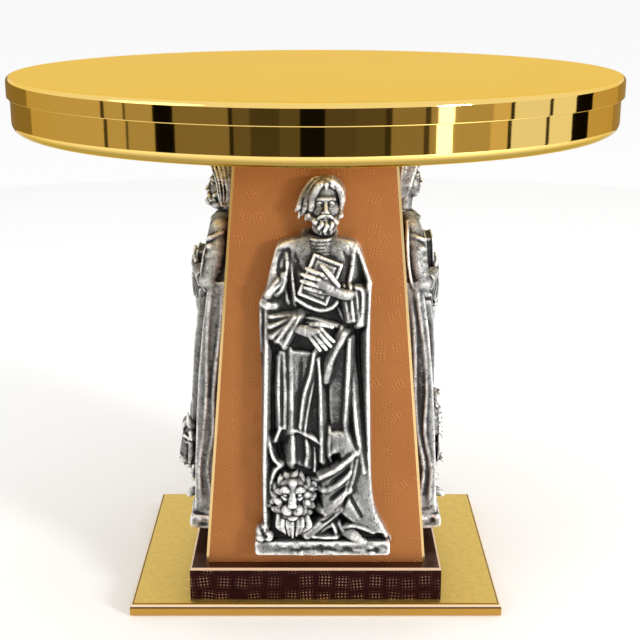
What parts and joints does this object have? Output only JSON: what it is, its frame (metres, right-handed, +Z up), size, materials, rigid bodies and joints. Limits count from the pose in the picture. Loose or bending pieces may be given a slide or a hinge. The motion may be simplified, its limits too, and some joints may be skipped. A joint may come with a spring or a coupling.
{
  "type": "monstrance stand",
  "caption": "Round brass altar stand on a tapered square pedestal with cast relief figures, a plinth and a rectangular foot plate; holds a monstrance or vessel up.",
  "frame": {"origin": "centre of the underside, on the surface the stand rests on", "axes": "+Z up, -Y towards the front figure, +X to the front viewer's right"},
  "size_m": [0.25, 0.25, 0.22],
  "materials": {
    "top_gold": "gilt, satin on the upper face and mirror polished round the rim",
    "foot_gold": "gilt, satin with a polished edge",
    "copper_panel": "copper toned, satin, finely hammered, with polished corners",
    "plinth_patina": "dark red-brown patina, hammered, with a polished upper edge",
    "antique_silver": "silver plated casting, oxidised in the recesses and burnished on the ridges",
    "raw_brass": "unpolished",
    "zinc_steel": "zinc plated",
    "spring_steel": "blackened",
    "plywood": "sanded",
    "felt": "felt"
  },
  "bodies": {
    "root": {"top_cover": "top_gold", "under_pan": "top_gold", "core_disc": "plywood", "rod_socket": "raw_brass", "socket_screws": "zinc_steel", "cap_plate": "raw_brass", "floor_plate": "raw_brass", "panel_front": "copper_panel", "panel_right": "copper_panel", "panel_back": "copper_panel", "panel_left": "copper_panel", "figure_front": "antique_silver", "figure_right": "antique_silver", "figure_back": "antique_silver", "figure_left": "antique_silver", "figure_screws": "zinc_steel", "figure_washers": "zinc_steel", "locating_pins": "zinc_steel", "plinth": "plinth_patina", "foot_plate": "foot_gold", "foot_screws": "zinc_steel", "felt_pad": "felt", "tie_rod": "zinc_steel", "flat_washer": "zinc_steel", "spring_washer": "spring_steel", "rod_nut": "zinc_steel"}
  },
  "joints": []
}
